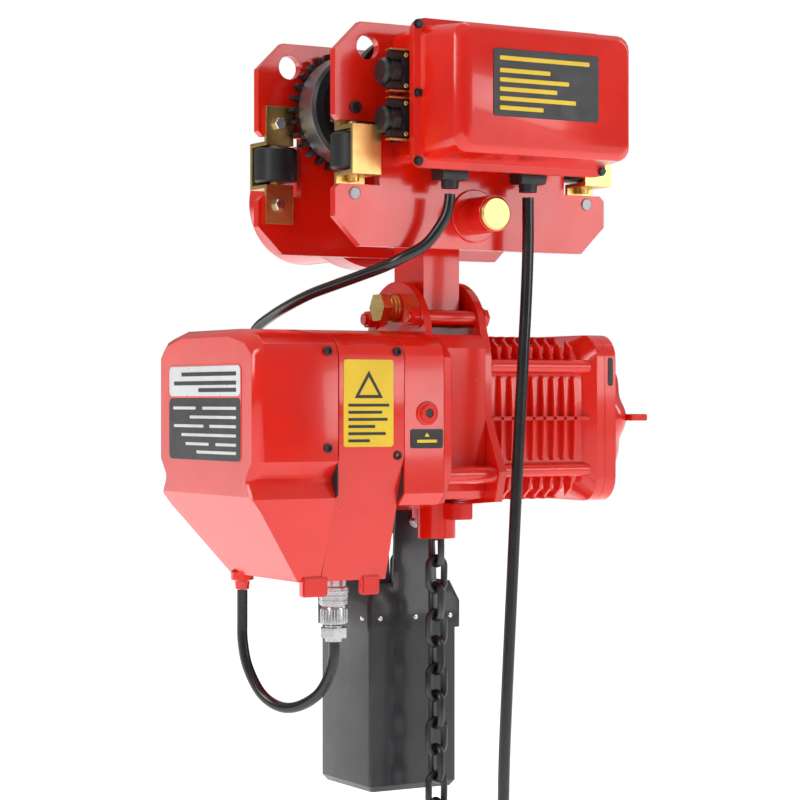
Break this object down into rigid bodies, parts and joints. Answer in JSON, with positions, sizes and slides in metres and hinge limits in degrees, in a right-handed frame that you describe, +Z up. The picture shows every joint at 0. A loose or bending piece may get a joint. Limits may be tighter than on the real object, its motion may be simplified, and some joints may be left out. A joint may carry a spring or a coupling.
{
  "type": "electric chain hoist with motor trolley",
  "caption": "Motor trolley that rides a beam's lower flange, carrying an electric chain hoist with its control box, chain bucket, hook and push-button pendant.",
  "frame": {"origin": "middle of the trolley, at the height where the four wheel treads rest on the beam's lower flange", "axes": "+X along the beam, -Y towards the control box, +Z up"},
  "size_m": [0.488, 0.512, 1.1007],
  "materials": {
    "red_paint": "gloss",
    "zinc_gold": "yellow zinc plated",
    "black_plastic": "satin",
    "black_steel": "blackened",
    "bright_steel": "machined",
    "dark_iron": "black oiled",
    "bucket_black": "satin",
    "cable_black": "glossy",
    "pendant_yellow": "satin",
    "button_red": "gloss"
  },
  "bodies": {
    "trolley": {"front_plate": "red_paint", "rear_plate": "red_paint", "load_shaft": "zinc_gold", "spacer_front": "red_paint", "spacer_rear": "red_paint", "box_base": "red_paint", "box_cover": "red_paint", "gland_power": "black_plastic", "gland_pendant": "black_plastic", "roller_bracket_front_left": "zinc_gold", "roller_bracket_front_right": "zinc_gold", "roller_bracket_rear_left": "zinc_gold", "roller_bracket_rear_right": "zinc_gold", "trolley_gear_case": "red_paint", "trolley_motor_case": "red_paint", "cable_pendant": "cable_black", "cable_coil": "cable_black", "cable_tail": "cable_black", "pendant_case": "pendant_yellow"},
    "hanger": {"hanger_bar": "red_paint", "cable_power": "cable_black"},
    "hoist": {"left_flange": "red_paint", "right_flange": "red_paint", "mid_frame": "red_paint", "suspension_bolt": "zinc_gold", "tie_rod_front": "red_paint", "tie_rod_rear": "red_paint", "gearbox_case": "red_paint", "electrical_case": "red_paint", "left_cover": "red_paint", "motor_housing": "red_paint", "motor_end_cover": "red_paint", "chain_guide": "red_paint", "chain_bucket": "bucket_black", "bucket_hanger": "bucket_black", "cable_connector": "bright_steel", "cable_loop": "cable_black"},
    "load_strand": {"load_chain": "black_steel", "hook_block": "black_steel"},
    "slack_strand": {"slack_chain": "black_steel"},
    "sheave": {"load_sheave": "dark_iron"},
    "stage": {"gear_stage": "bright_steel"},
    "rotor": {"motor_rotor": "bright_steel"},
    "hook": {"load_hook": "bright_steel"},
    "latch": {"hook_latch": "bright_steel"},
    "pinion": {"drive_pinion": "bright_steel"},
    "trolley_rotor_body": {"trolley_rotor": "bright_steel"},
    "wheel_rear_left_body": {"wheel_rear_left": "dark_iron"},
    "wheel_rear_right_body": {"wheel_rear_right": "dark_iron"},
    "wheel_front_left_body": {"wheel_front_left": "dark_iron"},
    "wheel_front_right_body": {"wheel_front_right": "dark_iron"},
    "roller_front_left": {"guide_roller_front_left": "black_plastic"},
    "roller_front_right": {"guide_roller_front_right": "black_plastic"},
    "roller_rear_left": {"guide_roller_rear_left": "black_plastic"},
    "roller_rear_right": {"guide_roller_rear_right": "black_plastic"},
    "push_stop": {"button_stop": "button_red"},
    "push_up": {"button_up": "black_plastic"},
    "push_down": {"button_down": "black_plastic"},
    "push_left": {"button_left": "black_plastic"},
    "push_right": {"button_right": "black_plastic"}
  },
  "joints": [
    {"name": "turn_wheel_rear_left", "type": "hinge", "parent": "trolley", "child": "wheel_rear_left_body", "pos_m": [-0.0655, 0.048, 0.058], "axis": [0, 1, 0], "continuous": true},
    {"name": "turn_wheel_rear_right", "type": "hinge", "parent": "trolley", "child": "wheel_rear_right_body", "pos_m": [0.0655, 0.048, 0.058], "axis": [0, 1, 0], "continuous": true},
    {"name": "turn_wheel_front_left", "type": "hinge", "parent": "trolley", "child": "wheel_front_left_body", "pos_m": [-0.0655, -0.048, 0.058], "axis": [0, 1, 0], "continuous": true},
    {"name": "turn_wheel_front_right", "type": "hinge", "parent": "trolley", "child": "wheel_front_right_body", "pos_m": [0.0655, -0.048, 0.058], "axis": [0, 1, 0], "continuous": true},
    {"name": "turn_drive_pinion", "type": "hinge", "parent": "trolley", "child": "pinion", "pos_m": [0, 0.065, 0.01946], "axis": [0, 1, 0], "continuous": true},
    {"name": "turn_trolley_rotor", "type": "hinge", "parent": "trolley", "child": "trolley_rotor_body", "pos_m": [0, 0.2, -0.02155], "axis": [0, 1, 0], "continuous": true},
    {"name": "turn_roller_front_left", "type": "hinge", "parent": "trolley", "child": "roller_front_left", "pos_m": [-0.137, -0.084, 0.0005], "axis": [0, 0, 1], "continuous": true},
    {"name": "turn_roller_front_right", "type": "hinge", "parent": "trolley", "child": "roller_front_right", "pos_m": [0.137, -0.084, 0.0005], "axis": [0, 0, 1], "continuous": true},
    {"name": "turn_roller_rear_left", "type": "hinge", "parent": "trolley", "child": "roller_rear_left", "pos_m": [-0.137, 0.084, 0.0005], "axis": [0, 0, 1], "continuous": true},
    {"name": "turn_roller_rear_right", "type": "hinge", "parent": "trolley", "child": "roller_rear_right", "pos_m": [0.137, 0.084, 0.0005], "axis": [0, 0, 1], "continuous": true},
    {"name": "swing_hanger", "type": "hinge", "parent": "trolley", "child": "hanger", "pos_m": [0, 0, -0.0585], "axis": [0, 1, 0], "range_deg": [-4, 4]},
    {"name": "swing_hoist", "type": "hinge", "parent": "hanger", "child": "hoist", "pos_m": [0, 0, -0.1494], "axis": [1, 0, 0], "range_deg": [-2, 2]},
    {"name": "lift_load", "type": "slide", "parent": "hoist", "child": "load_strand", "axis": [0, 0, 1], "range_m": [-0.075, 0.074]},
    {"name": "feed_slack_chain", "type": "slide", "parent": "hoist", "child": "slack_strand", "axis": [0, 0, 1], "range_m": [-0.076, 0.077]},
    {"name": "turn_sheave", "type": "hinge", "parent": "hoist", "child": "sheave", "pos_m": [-0.003, 0.017, -0.264], "axis": [1, 0, 0], "continuous": true},
    {"name": "turn_gear_stage", "type": "hinge", "parent": "hoist", "child": "stage", "pos_m": [-0.06, 0.068, -0.264], "axis": [1, 0, 0], "continuous": true},
    {"name": "turn_motor_rotor", "type": "hinge", "parent": "hoist", "child": "rotor", "pos_m": [0.1, 0.017, -0.264], "axis": [1, 0, 0], "continuous": true},
    {"name": "swivel_hook", "type": "hinge", "parent": "load_strand", "child": "hook", "pos_m": [-0.003, -0.02, -0.7363], "axis": [0, 0, 1], "continuous": true},
    {"name": "open_latch", "type": "hinge", "parent": "hook", "child": "latch", "pos_m": [-0.015, -0.02, -0.7603], "axis": [0, 1, 0], "range_deg": [-35, 0], "stiffness_Nm_per_rad": 0.06, "springref_deg": 8.59},
    {"name": "press_stop", "type": "slide", "parent": "trolley", "child": "push_stop", "axis": [0, 1, 0], "range_m": [0, 0.004], "stiffness_N_per_m": 600},
    {"name": "press_up", "type": "slide", "parent": "trolley", "child": "push_up", "axis": [0, 1, 0], "range_m": [0, 0.004], "stiffness_N_per_m": 600},
    {"name": "press_down", "type": "slide", "parent": "trolley", "child": "push_down", "axis": [0, 1, 0], "range_m": [0, 0.004], "stiffness_N_per_m": 600},
    {"name": "press_left", "type": "slide", "parent": "trolley", "child": "push_left", "axis": [0, 1, 0], "range_m": [0, 0.004], "stiffness_N_per_m": 600},
    {"name": "press_right", "type": "slide", "parent": "trolley", "child": "push_right", "axis": [0, 1, 0], "range_m": [0, 0.004], "stiffness_N_per_m": 600}
  ],
  "couplings": [
    {"joint": "turn_wheel_rear_right", "follows": "turn_wheel_rear_left", "ratio": 1},
    {"joint": "turn_drive_pinion", "follows": "turn_wheel_rear_left", "ratio": -3.75},
    {"joint": "turn_trolley_rotor", "follows": "turn_wheel_rear_left", "ratio": 8.0769},
    {"joint": "feed_slack_chain", "follows": "lift_load", "ratio": -1},
    {"joint": "turn_sheave", "follows": "lift_load", "rad_per_m": -27.027},
    {"joint": "turn_gear_stage", "follows": "lift_load", "rad_per_m": 64.865},
    {"joint": "turn_motor_rotor", "follows": "lift_load", "rad_per_m": -180.18}
  ]
}
